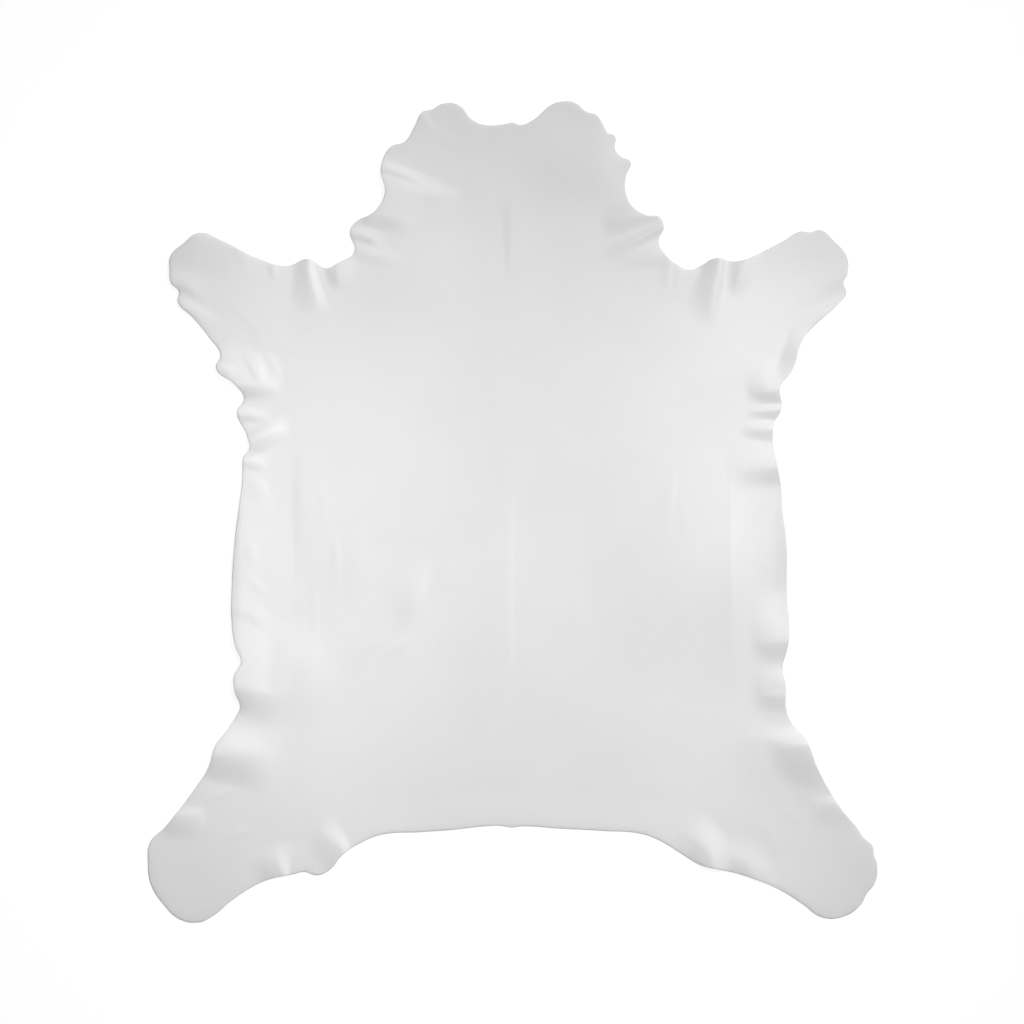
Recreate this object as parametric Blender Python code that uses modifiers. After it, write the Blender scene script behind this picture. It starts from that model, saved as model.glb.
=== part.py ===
"""A whole cattle hide, finished as smooth white leather, lying grain side up on a flat surface.

It is one cut sheet: neck, cheeks, fore shanks, bellies, flanks, hind shanks and butt are all one
piece, with nothing sewn on. The middle lies flat. The loose leather of the throat, armpits, elbows
and flanks stands up in soft folds that run in from the edge, and the cut edge curls down a little.
+Y runs towards the neck, +X towards the side on the right as seen from above with the neck up, and
+Z points out of the grain side. The origin is on the surface under the middle.
"""

from collections import namedtuple

import bpy
import numpy as np
from mathutils import Vector
from mathutils.geometry import delaunay_2d_cdt
from mathutils.kdtree import KDTree

# Driving dimensions, in metres.
HIDE_LENGTH = 2.70  # from the neck's lobes to the ends of the hind shanks
HIDE_WIDTH = 2.40  # across the hind shanks
THICKNESS = 0.0015  # split and finished upholstery leather
RIM_CURL = 0.012  # across the outermost strip, which curls down towards the cut edge
RIM_ARCH = 0.0025  # height of the sheet just inside that strip
RIM_LIP = 0.5  # the cut edge stays off the surface by this share of the arch's height
RIM_FALL = 0.11  # inside the arch, the sheet settles onto the surface over this distance
HOLD = 2.0  # how long a fold keeps its height before it dies out at its end

# How finely the sheet is divided, in metres.
FOLD_STEPS = 2.4  # points from a fold's crest to its foot
FINE = 0.016  # closest points, on the narrow folds
RIM_STEP = 0.034  # widest spacing along the edge
CALM_STEP = 0.10  # widest spacing in the flat middle
GRADING = 0.42  # how fast the spacing opens out away from a fold
TIP_SPREAD = 0.6  # how much wider it is at a fold's tip than at the edge
CLOSEST = 0.9  # no two inner points stand closer than this share of the spacing
RIM_GAP = 0.45  # nor closer to the rim's ring than this share
CANDIDATE_STEP = 0.008  # grid from which the inner points are picked
EDGE_STEPS = 16  # points between two landmarks of the edge's curve
LINE_STEPS = 5  # points between two points of a fold's line

# The tables below are in centimetres, from the middle of the hide.
CM = 0.01

# The cut edge, clockwise as seen from above. A smooth curve runs through the points of each
# stretch and on into the next.
Stretch = namedtuple("Stretch", "name points")
EDGE = (
    Stretch("neck, right lobe", (
        (0.0, 128.0), (3.0, 127.3), (7.0, 129.0), (13.5, 134.2), (17.0, 135.0), (20.5, 134.6),
        (24.5, 131.6), (27.8, 130.5), (30.0, 127.2), (31.6, 124.4), (33.6, 123.9),
    )),
    Stretch("right cheek and throat", (
        (33.9, 119.0), (36.0, 116.7), (38.9, 115.2), (37.4, 110.5), (37.4, 105.0), (39.9, 100.0),
        (44.0, 97.5), (48.6, 96.8), (49.8, 93.5), (48.2, 89.2), (50.2, 84.9),
    )),
    Stretch("right armpit", (
        (54.5, 81.2), (58.5, 79.6), (62.2, 81.0), (66.5, 83.2), (74.0, 82.3),
    )),
    Stretch("right fore shank", (
        (81.0, 84.9), (89.0, 89.0), (94.8, 92.2), (98.0, 91.9), (101.3, 92.7), (106.0, 89.0),
        (110.1, 83.8), (110.2, 78.3), (108.9, 75.5), (109.9, 71.9), (107.3, 68.4), (98.0, 59.8),
    )),
    Stretch("right elbow and flank", (
        (94.6, 54.8), (92.8, 48.5), (91.0, 45.0), (88.0, 41.0), (88.6, 34.5), (86.0, 28.5),
        (85.9, 21.5), (87.1, 15.0),
    )),
    Stretch("right belly", (
        (88.5, 8.0), (88.8, 1.5), (90.1, -10.0), (90.3, -26.0), (90.9, -41.0),
    )),
    Stretch("right hind flank", (
        (90.0, -46.5), (89.0, -50.5), (89.9, -57.5), (90.1, -64.5), (92.0, -69.5), (96.6, -75.0),
        (99.6, -82.5), (103.4, -90.0),
    )),
    Stretch("right hind shank, outer side", (
        (108.5, -98.0), (113.7, -104.2), (115.3, -106.8), (118.6, -110.0), (118.9, -112.6),
        (120.0, -116.0), (119.3, -122.0), (116.6, -125.6), (114.8, -129.0), (109.5, -132.9),
    )),
    Stretch("right hind shank, inner side", (
        (102.0, -133.4), (95.5, -129.0), (88.0, -124.3), (78.0, -120.1), (68.0, -117.5),
        (62.0, -116.1), (55.0, -112.0), (49.5, -108.6),
    )),
    Stretch("butt", (
        (43.0, -106.0), (30.0, -104.9), (15.0, -104.1), (3.0, -103.4), (0.0, -103.8),
        (-4.0, -103.2), (-12.0, -103.7), (-20.0, -104.6), (-30.0, -105.3), (-43.0, -106.2),
    )),
    Stretch("left hind shank, inner side", (
        (-50.0, -109.0), (-55.8, -112.8), (-59.5, -117.3), (-63.8, -119.5), (-68.5, -118.4),
        (-72.0, -119.2), (-78.0, -120.2), (-84.0, -122.6), (-92.0, -127.7), (-98.5, -133.0),
    )),
    Stretch("left hind shank, outer side", (
        (-103.0, -135.0), (-109.5, -133.9), (-114.5, -129.3), (-118.8, -122.5), (-119.8, -115.0),
        (-119.2, -109.0), (-114.0, -103.5), (-109.0, -97.4), (-104.0, -90.5),
    )),
    Stretch("left hind flank", (
        (-99.7, -83.8), (-97.2, -76.4), (-94.4, -72.7), (-90.7, -67.0), (-89.4, -64.3),
        (-91.0, -58.8), (-91.2, -53.8), (-89.0, -49.2), (-90.9, -44.0),
    )),
    Stretch("left belly", (
        (-92.0, -37.0), (-92.0, -24.0), (-91.0, -9.0), (-89.5, 3.0), (-88.7, 10.0), (-88.6, 14.5),
    )),
    Stretch("left flank and elbow", (
        (-88.2, 18.3), (-86.2, 21.0), (-87.0, 24.8), (-90.4, 33.0), (-88.2, 37.5), (-91.0, 41.8),
        (-97.2, 47.3), (-95.9, 51.5), (-99.5, 57.2),
    )),
    Stretch("left fore shank, lower side", (
        (-105.0, 64.0), (-109.8, 69.0), (-109.5, 72.5), (-112.0, 75.2),
    )),
    Stretch("left fore shank, upper side", (
        (-112.5, 79.5), (-112.2, 84.0), (-108.0, 88.1), (-102.8, 91.5), (-95.0, 88.9), (-84.0, 83.5),
    )),
    Stretch("left armpit", (
        (-74.0, 80.9), (-66.8, 83.1), (-61.0, 80.2), (-56.8, 82.1),
    )),
    Stretch("left throat and cheek", (
        (-51.9, 85.3), (-53.2, 92.6), (-51.2, 95.4), (-45.2, 98.6), (-41.8, 104.5), (-43.1, 113.0),
        (-40.0, 120.0), (-35.3, 121.8),
    )),
    Stretch("neck, left lobe", (
        (-32.0, 127.0), (-29.5, 131.5), (-26.2, 132.4), (-23.0, 134.2), (-17.8, 133.9),
        (-13.0, 128.9), (-9.3, 127.3), (-3.2, 127.4),
    )),
)

# Folds that stand up from the edge: full height there, dying out inland. The line is the crest,
# from the edge inwards. Left and right are the widths of its two sides as seen walking that way:
# one number, or two where the side widens or narrows from the edge to the tip. Crease makes the
# side straighter, from 0, rounded at crest and foot, to 1, a tent.
Fold = namedtuple("Fold", "name line left right height crease", defaults=(0.0,))
EDGE_FOLDS = (
    Fold("left neck lobe", ((-31.5, 132.5), (-28, 127.5), (-24.6, 122.5)), 2.4, 3.2, 0.18),
    Fold("left cheek, crease", ((-43.5, 113.4), (-36, 111), (-28.5, 107.6)), 3, 1.7, 0.5, 0.5),
    Fold("left cheek", ((-44, 106.4), (-31, 104.9), (-14.5, 102.2)), (10.5, 2.2), (20, 7), 1.5, 0.6),
    Fold("left throat, upper", ((-45.5, 98.2), (-39, 96.6), (-31, 92.8)), 20, (5.2, 4.4), 1.05, 0.6),
    Fold("left throat, lower", ((-53.5, 91.6), (-48.5, 90.6), (-41.5, 87)), (2.8, 4.5), (2.9, 2), 0.7, 0.4),
    Fold("left throat, foot", ((-52.6, 86.4), (-46, 84.6), (-34, 81)), 4, 4, 0.5, 0.3),
    Fold("left armpit, inner", ((-57.8, 83), (-57.3, 77.5), (-56.2, 72)), 7, (5.6, 2.5), 1.1, 0.6),
    Fold("left armpit", ((-67, 84.5), (-66.3, 77), (-62.8, 62)), (1.2, 4.5), (4.2, 11), 1.5, 0.5),
    Fold("left armpit, outer", ((-79.2, 82), (-78.6, 79), (-77.8, 75.5)), 2.6, 2.2, 0.25),
    Fold("left fore shank, upper side", ((-89.3, 87), (-87.8, 83.5), (-86.2, 80)), 5.5, 4, 0.3),
    Fold("left fore shank, tip", ((-113.4, 76.2), (-108, 74.9), (-100, 70.2)), 5, (4.6, 3.5), 0.45, 0.4),
    Fold("left fore shank, lower side", ((-110.6, 69), (-104, 65), (-95.5, 60.5)), 4.4, 6, 0.5),
    Fold("left elbow, point", ((-98.2, 47.4), (-93, 46.4), (-88.5, 45.2)), 2.2, 3, 0.35, 0.3),
    Fold("left elbow", ((-92.6, 41.8), (-85.5, 41.6), (-75, 41)), (14, 10), (5.4, 5), 1.8, 0.3),
    Fold("left flank, upper", ((-91, 32.4), (-86, 31.8), (-78.5, 30.8)), 3, 2.6, 0.55, 0.4),
    Fold("left flank, middle", ((-88.5, 22.2), (-82, 25), (-73, 29)), (3.4, 5), (5, 4.5), 2, 0.6),
    Fold("left flank, lower", ((-90, 17), (-86, 16.2), (-79.5, 14.6)), 3.6, 2.6, 0.52, 0.5),
    Fold("left belly", ((-92.8, -30.8), (-86, -33), (-78.5, -38.6)), 9, 3.8, 0.36, 0.3),
    Fold("left hind flank, upper", ((-92.2, -57.2), (-85, -58.2), (-73, -60.8)), (30, 20), (9.6, 10.4), 2.6, 0.5),
    Fold("left hind flank, lower", ((-100.4, -79.4), (-91, -79.6), (-74, -80.4)), (11, 8), (8.6, 14), 1.9, 0.5),
    Fold("left hind shank, outer side", ((-110.4, -100.6), (-105.5, -100.2), (-100, -100)), 4.2, 8, 0.7),
    Fold("butt, left dimple", ((-74.6, -120.5), (-76.4, -116), (-79.2, -109)), 9, (1.4, 8), 1, 0.5),
    Fold("butt, left corner", ((-54, -113.8), (-57.2, -109.6), (-61.5, -106.2), (-67, -103.4)), 9, (2.2, 8), 0.9, 0.5),
    Fold("butt, right corner", ((66.4, -119), (65, -112.5), (61.4, -108.2), (53, -105.6)), 7.8, (5, 11), 1.5, 0.5),
    Fold("butt, right hem", ((80.5, -122.5), (78.2, -117.6), (73.8, -114.2), (66.5, -113.2)), 5, 7.5, 0.65, 0.4),
    Fold("right hind shank, outer side", ((108, -96.4), (103, -96.4), (96.5, -96.8)), 9, 3.8, 0.5),
    Fold("right hind flank, lower", ((99.4, -76.6), (92, -76.6), (83.5, -76.8)), (15, 11), 5.2, 1.9, 0.5),
    Fold("right hind flank, foot", ((97, -76), (86, -75.6), (72, -74.4)), 20, (6, 8), 1.1, 0.3),
    Fold("right hind flank, middle", ((92, -60), (86, -60.1), (78.5, -60.6)), (6.8, 5), 13, 1.4, 0.6),
    Fold("right hind flank, crease", ((91.2, -55), (88, -55.6), (84.5, -56.8)), 3.2, 3.6, 0.3),
    Fold("right hind flank, upper", ((92.4, -42.2), (86, -42.4), (77.5, -43.4)), (9.6, 7), 16, 2.4, 0.6),
    Fold("right flank, lower", ((88.6, 14.8), (81, 14.8), (69.5, 14)), (6.4, 8), 12, 2.2, 0.6),
    Fold("right flank, middle", ((87.2, 27.2), (82, 27), (74.5, 26.5)), (5, 2.4), 3.2, 1.6, 0.5),
    Fold("right flank, upper", ((89.8, 33.8), (84, 33.5), (76.5, 32.4)), (4.4, 2), 1.8, 1.4, 0.5),
    Fold("right elbow", ((89.4, 40.4), (84, 40.1), (76.5, 38.9)), (6.8, 2.6), 10, 2.2, 0.6),
    Fold("right fore shank, lower side", ((114, 68.5), (104, 64.4), (92.5, 60)), 4, 5.4, 1.5, 0.4),
    Fold("right fore shank, tip", ((111.2, 79.2), (104, 75), (92, 67.8)), 4.6, 2.4, 0.75, 0.3),
    Fold("right armpit, outer", ((76.8, 84.5), (74.9, 78.5), (72, 71)), 5.5, (5.8, 3), 2, 0.5),
    Fold("right armpit", ((68.4, 84.5), (67.4, 77), (64.2, 61)), (2.2, 3.6), (5.6, 9.4), 2.8, 0.5),
    Fold("right armpit, middle", ((54.8, 81.5), (54.4, 77), (53.8, 72.5)), 2, 2.4, 0.15),
    Fold("right armpit, inner", ((51.8, 83.5), (51.3, 78), (50.6, 72.5)), 1.8, 4, 0.3),
    Fold("right throat, foot", ((50.8, 84), (43, 83.8), (33, 81.8)), 4.5, 5.2, 0.6, 0.3),
    Fold("right throat, lower", ((50.4, 94.4), (44, 91.2), (37, 87.6), (29, 83.2)), (1.8, 4.5), (3, 4.2), 1.3, 0.4),
    Fold("right throat, upper", ((47, 98.4), (39, 96.4), (28.5, 93)), (4, 5.6), (12, 5), 1.6, 0.6),
)

# Soft swells that rise and die away along their line, between the edges or along a lifted edge.
SWELLS = (
    Fold("right cheek", ((25.5, 131), (26.5, 114), (29, 96)), 13, 28, 1.5),
    Fold("neck crease", ((-0.3, 112), (-0.5, 95), (-0.7, 70)), 14, (3.6, 1.6), 0.3, 0.5),
    Fold("left shoulder", ((-33, 108), (-33, 84), (-32, 58)), 22, 30, 1.1),
    Fold("left elbow, streak", ((-89, 54.5), (-84.8, 47.5), (-81, 40)), 3, 2.6, 0.3),
    Fold("left fore shank, lifted edge", ((-128, 92), (-100, 90), (-66, 84)), 5, 32, 2.4, 0.3),
    Fold("left belly, slope", ((-89.5, 34), (-89.5, -12), (-89.5, -60)), 17.5, 22, 1.7, 1),
    Fold("left belly, outer", ((-68.3, 25), (-68.8, 3), (-68.5, -18)), 8, 4.5, 0.38, 0.5),
    Fold("left loin", ((-27.5, -14), (-31.8, -27.5), (-38, -41)), 3.6, 11, 0.9, 0.4),
    Fold("left hind flank, pocket", ((-74, -40), (-74, -55), (-75.5, -71)), 20, 7, 0.7),
    Fold("right belly, crease", ((71.3, 35), (71.4, -15), (73, -66)), 15.5, 46, 4.3, 0.8),
    Fold("right belly, lifted edge", ((92.4, 11), (92.5, -9), (92.2, -28)), 5, (3, 17), 2.1, 0.5),
    Fold("right elbow, lifted edge", ((100, 62), (96, 50.5), (91.8, 39)), 3, 7.4, 4.3, 1),
)


def cut_edge():
    """The cut edge as closely spaced points: one smooth closed curve, scaled to the hide's size."""
    landmarks = [point for stretch in EDGE for point in stretch.points]
    curve = bpy.data.curves.new("cut_edge", "CURVE")
    curve.dimensions = "2D"
    curve.fill_mode = "NONE"
    curve.resolution_u = EDGE_STEPS
    spline = curve.splines.new("BEZIER")
    spline.bezier_points.add(len(landmarks) - 1)
    spline.use_cyclic_u = True
    for knot, (x, y) in zip(spline.bezier_points, landmarks):
        knot.co = (x * CM, y * CM, 0)
        knot.handle_left_type = "AUTO"
        knot.handle_right_type = "AUTO"
    guide = bpy.data.objects.new("cut_edge", curve)
    bpy.context.collection.objects.link(guide)
    flat = bpy.data.meshes.new_from_object(guide.evaluated_get(bpy.context.evaluated_depsgraph_get()))
    points = np.array([corner.co[:2] for corner in flat.vertices])
    bpy.data.objects.remove(guide)
    bpy.data.curves.remove(curve)
    bpy.data.meshes.remove(flat)
    low, high = points.min(axis=0), points.max(axis=0)
    return (points - (low + high) / 2) * (HIDE_WIDTH, HIDE_LENGTH) / (high - low)


def smooth_line(line):
    """A fold's line as a smooth curve through its points, in metres."""
    knots = np.array(line) * CM
    ends = np.concatenate((2 * knots[:1] - knots[1:2], knots, 2 * knots[-1:] - knots[-2:-1]))
    share = np.arange(LINE_STEPS)[:, None] / LINE_STEPS
    pieces = []
    for before, start, end, after in zip(ends, ends[1:], ends[2:], ends[3:]):
        slope_in = (end - before) / 2
        slope_out = (after - start) / 2
        bend = 2 * (start - end) + slope_in + slope_out
        sweep = 3 * (end - start) - 2 * slope_in - slope_out
        pieces.append(start + share * (slope_in + share * (sweep + share * bend)))
    return np.concatenate(pieces + [knots[-1:]])


def along_and_off(points, fold):
    """Where each point lies by a fold's line: share of the way along, distance off, width of that side."""
    line = smooth_line(fold.line)
    steps = np.diff(line, axis=0)
    lengths = np.hypot(steps[:, 0], steps[:, 1])
    begun = np.cumsum(lengths) - lengths
    off = np.full(len(points), np.inf)
    along = np.zeros(len(points))
    on_left = np.zeros(len(points), dtype=bool)
    for start, step, length, before in zip(line, steps, lengths, begun):
        reach = points - start
        share = np.clip(reach @ step / length**2, 0, 1)
        aside = reach - share[:, None] * step
        distance = np.hypot(aside[:, 0], aside[:, 1])
        nearer = distance < off
        off[nearer] = distance[nearer]
        along[nearer] = (before + share[nearer] * length) / lengths.sum()
        on_left[nearer] = (step[0] * reach[:, 1] - step[1] * reach[:, 0])[nearer] > 0
    left, right = (np.interp(along, (0, 1), np.broadcast_to(side, 2)) for side in (fold.left, fold.right))
    return along, off, np.where(on_left, left, right) * CM


def ridge(off, width, crease):
    """A ridge's section: 1 on the crest, 0 from its foot outwards, with rounded or straight sides."""
    share = np.clip(off / width, 0, 1)
    return (1 - crease) * np.cos(np.pi / 2 * share) ** 2 + crease * (1 - share)


def fold_heights(points):
    """How far the folds and swells lift the sheet at each point."""
    heights = np.zeros(len(points))
    for fold in EDGE_FOLDS:
        along, off, width = along_and_off(points, fold)
        heights += fold.height * CM * ridge(off, width, fold.crease) * np.cos(np.pi / 2 * along**HOLD) ** 2
    for swell in SWELLS:
        along, off, width = along_and_off(points, swell)
        heights += swell.height * CM * ridge(off, width, swell.crease) * np.sin(np.pi * along) ** 2
    return heights


def rim_heights(inset):
    """How far the sheet stands up beside its cut edge, by the distance in from the edge."""
    curl = RIM_LIP + (1 - RIM_LIP) * np.sin(np.pi / 2 * np.clip(inset / RIM_CURL, 0, 1))
    settling = np.clip((inset - RIM_CURL) / RIM_FALL, 0, 1)
    return RIM_ARCH * curl * np.cos(np.pi / 2 * settling) ** 2


def spacing(points, inset):
    """How far apart the sheet's points may be: close on the folds and the rim, wide in the middle."""
    wanted = np.minimum(CALM_STEP, RIM_STEP + GRADING * inset)
    for fold in EDGE_FOLDS + SWELLS:
        along, off, width = along_and_off(points, fold)
        across = np.maximum(FINE, width / FOLD_STEPS) * (1 + TIP_SPREAD * along)
        wanted = np.minimum(wanted, across + GRADING * np.maximum(0, off - width))
    return wanted


def inset_of(points, edge_tree):
    """How far in from the cut edge each point lies."""
    return np.array([edge_tree.find((x, y, 0))[2] for x, y in points])


def tree_of(points):
    tree = KDTree(len(points))
    for index, (x, y) in enumerate(points):
        tree.insert((x, y, 0), index)
    tree.balance()
    return tree


def spread_along(loop, wanted):
    """Points of a closed loop picked so that each step is the spacing wanted there."""
    steps = np.hypot(*(np.roll(loop, -1, axis=0) - loop).T)
    phase = np.cumsum(steps / wanted)
    count = round(phase[-1])
    marks = np.arange(count) * phase[-1] / count
    return loop[np.searchsorted(phase, marks)]


def inside(points, loop):
    """Which points lie inside a closed loop, by counting the sides that a line to the right crosses."""
    following = np.roll(loop, -1, axis=0)
    crossings = np.zeros(len(points), dtype=int)
    for (ax, ay), (bx, by) in zip(loop, following):
        spans = (points[:, 1] < ay) != (points[:, 1] < by)
        if ay != by:
            x = ax + (points[:, 1] - ay) / (by - ay) * (bx - ax)
            crossings += spans & (points[:, 0] < x)
    return crossings % 2 == 1


def rim_crest(edge):
    """The ring of points on the rim's arch, where the curl begins."""
    ahead = np.roll(edge, -1, axis=0) - np.roll(edge, 1, axis=0)
    inward = np.stack((ahead[:, 1], -ahead[:, 0]), axis=1) / np.hypot(ahead[:, 0], ahead[:, 1])[:, None]
    return edge + RIM_CURL * inward


def inner_points(edge, ring, edge_tree):
    """Points over the sheet, picked from an even grid so that they keep the spacing wanted there."""
    columns = np.arange(-HIDE_WIDTH / 2, HIDE_WIDTH / 2, CANDIDATE_STEP)
    rows = np.arange(-HIDE_LENGTH / 2, HIDE_LENGTH / 2, CANDIDATE_STEP)
    grid = np.array([(x, y) for y in rows for x in columns])
    grid = grid[inside(grid, edge)]
    inset = inset_of(grid, edge_tree)
    wanted = spacing(grid, inset)
    clear = inset > RIM_CURL + RIM_GAP * wanted
    kept = {}
    picked = []

    def cell_of(x, y):
        return int(x // CALM_STEP), int(y // CALM_STEP)

    for x, y in ring:
        kept.setdefault(cell_of(x, y), []).append((x, y))
    for (x, y), step in zip(grid[clear], wanted[clear]):
        column, row = cell_of(x, y)
        near = (
            point
            for i in (column - 1, column, column + 1)
            for j in (row - 1, row, row + 1)
            for point in kept.get((i, j), ())
        )
        if all((x - a) ** 2 + (y - b) ** 2 > (CLOSEST * step) ** 2 for a, b in near):
            kept.setdefault((column, row), []).append((x, y))
            picked.append((x, y))
    return np.array(picked)


def hide_sheet():
    """The underside of the sheet as a mesh of triangles, lying on the surface and up over its folds."""
    fine_edge = cut_edge()
    edge_tree = tree_of(fine_edge)
    wanted = np.minimum(RIM_STEP, spacing(fine_edge, np.zeros(len(fine_edge))))
    edge = spread_along(fine_edge, wanted)
    ring = rim_crest(edge)
    points = np.concatenate((edge, ring, inner_points(edge, ring, edge_tree)))
    corners, _, faces, _, _, _ = delaunay_2d_cdt(
        [Vector(point) for point in points], [], [list(range(len(edge)))], 1, 1e-6
    )
    flat = np.array([corner[:] for corner in corners])
    inset = inset_of(flat, edge_tree)
    inset[: len(edge)] = 0
    heights = fold_heights(flat) + rim_heights(inset)
    sheet = bpy.data.meshes.new("hide")
    sheet.from_pydata([(x, y, z) for (x, y), z in zip(flat, heights)], [], faces)
    sheet.shade_smooth()
    return sheet


def leather():
    """Semi-matt white finished leather."""
    finish = bpy.data.materials.new("leather")
    finish.use_nodes = True
    shader = finish.node_tree.nodes["Principled BSDF"]
    shader.inputs["Base Color"].default_value = (0.80, 0.80, 0.79, 1)
    shader.inputs["Roughness"].default_value = 0.55
    shader.inputs["Metallic"].default_value = 0
    return finish


def main():
    for thing in list(bpy.data.objects):
        bpy.data.objects.remove(thing)
    pieces = bpy.data.collections.new("leather_hide")
    bpy.context.scene.collection.children.link(pieces)
    hide = bpy.data.objects.new("hide", hide_sheet())
    hide.data.materials.append(leather())
    pieces.objects.link(hide)
    body = hide.modifiers.new("thickness", "SOLIDIFY")
    body.thickness = THICKNESS
    body.offset = 1
    body.use_even_offset = True


main()
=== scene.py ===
# %% [markdown]
# # A white leather hide
# One whole cattle hide, cut round its edge and finished as smooth white upholstery leather. It lies
# grain side up. A maker would have only this one piece. It could be made by a cloth simulation or by
# sculpting, but then no value in the script would say where a fold is. Here every fold is a row in a
# table, so each can be read, moved and made again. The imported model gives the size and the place.

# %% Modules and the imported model
import math
from collections import namedtuple

import bpy
import numpy as np
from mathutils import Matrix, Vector
from mathutils.geometry import delaunay_2d_cdt
from mathutils.kdtree import KDTree


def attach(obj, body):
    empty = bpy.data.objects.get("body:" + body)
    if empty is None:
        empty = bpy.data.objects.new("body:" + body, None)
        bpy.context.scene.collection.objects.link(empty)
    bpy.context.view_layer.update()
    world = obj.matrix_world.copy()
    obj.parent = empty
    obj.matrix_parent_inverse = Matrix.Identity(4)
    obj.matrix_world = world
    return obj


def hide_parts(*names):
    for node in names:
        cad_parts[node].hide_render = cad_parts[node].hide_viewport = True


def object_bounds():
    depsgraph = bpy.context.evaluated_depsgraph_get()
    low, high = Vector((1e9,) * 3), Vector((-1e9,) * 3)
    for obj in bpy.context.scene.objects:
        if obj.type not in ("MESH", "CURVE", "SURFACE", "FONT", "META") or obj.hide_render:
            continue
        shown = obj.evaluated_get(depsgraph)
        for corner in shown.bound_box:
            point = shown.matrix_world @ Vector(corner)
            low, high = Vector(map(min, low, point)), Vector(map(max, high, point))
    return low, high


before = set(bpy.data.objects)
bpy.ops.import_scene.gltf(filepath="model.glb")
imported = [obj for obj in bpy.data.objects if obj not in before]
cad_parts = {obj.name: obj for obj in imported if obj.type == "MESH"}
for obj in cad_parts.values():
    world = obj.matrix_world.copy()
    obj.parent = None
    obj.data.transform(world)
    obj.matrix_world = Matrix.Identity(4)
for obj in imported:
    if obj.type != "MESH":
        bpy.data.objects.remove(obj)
CAD_BOX = [list(corner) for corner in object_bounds()]
HIDE_WIDTH, HIDE_LENGTH = (CAD_BOX[1][0] - CAD_BOX[0][0]), (CAD_BOX[1][1] - CAD_BOX[0][1])
print("CAD box", CAD_BOX)

# %% [markdown]
# ## The cut edge
# The hide keeps its neck, both cheeks, the four shanks and the bellies, so its edge is long and
# uneven, with lobes where the skin was opened along the legs. A drawing could be traced for it, but a
# few landmarks joined by one smooth curve are easier to read and to correct. They are written in
# centimetres from the middle, clockwise from the neck, stretch by stretch.

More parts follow.
